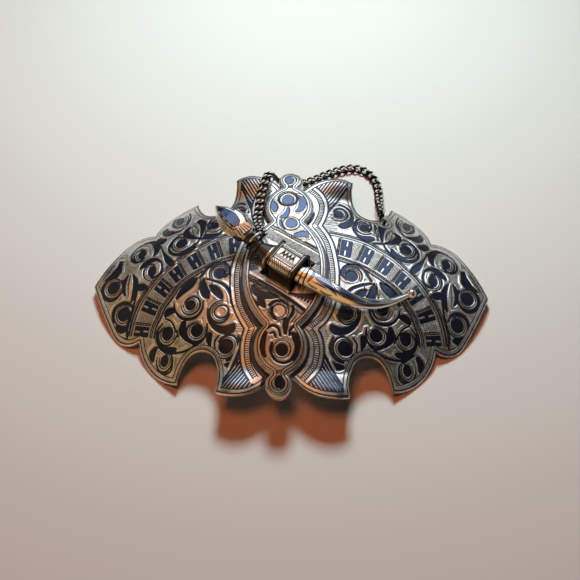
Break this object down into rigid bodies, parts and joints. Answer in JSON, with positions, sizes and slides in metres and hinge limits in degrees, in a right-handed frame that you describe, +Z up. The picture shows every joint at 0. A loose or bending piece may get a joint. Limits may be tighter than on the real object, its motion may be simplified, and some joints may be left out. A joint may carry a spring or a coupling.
{
  "type": "sash buckle",
  "caption": "Two-part domed silver sash buckle with scalloped wings, a raised cartouche, a dagger-shaped pin through an arched staple, and a curb chain.",
  "frame": {"origin": "on the surface the buckle lies on, on the buckle's middle line in X and midway in Y between the lower bead and the farthest chain link; the buckle's own middle is 6.06 mm towards -Y", "axes": "+Z up out of the outer face; +X along the wings, towards the half with the cartouche; +Y towards the edge over which the chain hangs"},
  "size_m": [0.115, 0.0862, 0.023],
  "materials": {
    "nielloed_silver": "satin, engraved and inlaid with dark niello",
    "bright_silver": "polished",
    "dark_silver": "oxidised, bright on the high spots"
  },
  "bodies": {
    "root": {"left_plate": "nielloed_silver", "right_plate": "nielloed_silver", "dagger_pin": "bright_silver", "hilt_ring": "dark_silver", "plate_ring": "dark_silver", "chain_link_01": "dark_silver", "chain_link_02": "dark_silver", "chain_link_03": "dark_silver", "chain_link_04": "dark_silver", "chain_link_05": "dark_silver", "chain_link_06": "dark_silver", "chain_link_07": "dark_silver", "chain_link_08": "dark_silver", "chain_link_09": "dark_silver", "chain_link_10": "dark_silver", "chain_link_11": "dark_silver", "chain_link_12": "dark_silver", "chain_link_13": "dark_silver", "chain_link_14": "dark_silver", "chain_link_15": "dark_silver", "chain_link_16": "dark_silver", "chain_link_17": "dark_silver", "chain_link_18": "dark_silver", "chain_link_19": "dark_silver", "chain_link_20": "dark_silver", "chain_link_21": "dark_silver", "chain_link_22": "dark_silver", "chain_link_23": "dark_silver", "chain_link_24": "dark_silver", "chain_link_25": "dark_silver", "chain_link_26": "dark_silver", "chain_link_27": "dark_silver", "chain_link_28": "dark_silver", "chain_link_29": "dark_silver", "chain_link_30": "dark_silver", "chain_link_31": "dark_silver", "chain_link_32": "dark_silver", "chain_link_33": "dark_silver", "chain_link_34": "dark_silver", "chain_link_35": "dark_silver", "chain_link_36": "dark_silver", "chain_link_37": "dark_silver", "chain_link_38": "dark_silver", "chain_link_39": "dark_silver", "chain_link_40": "dark_silver"}
  },
  "joints": []
}
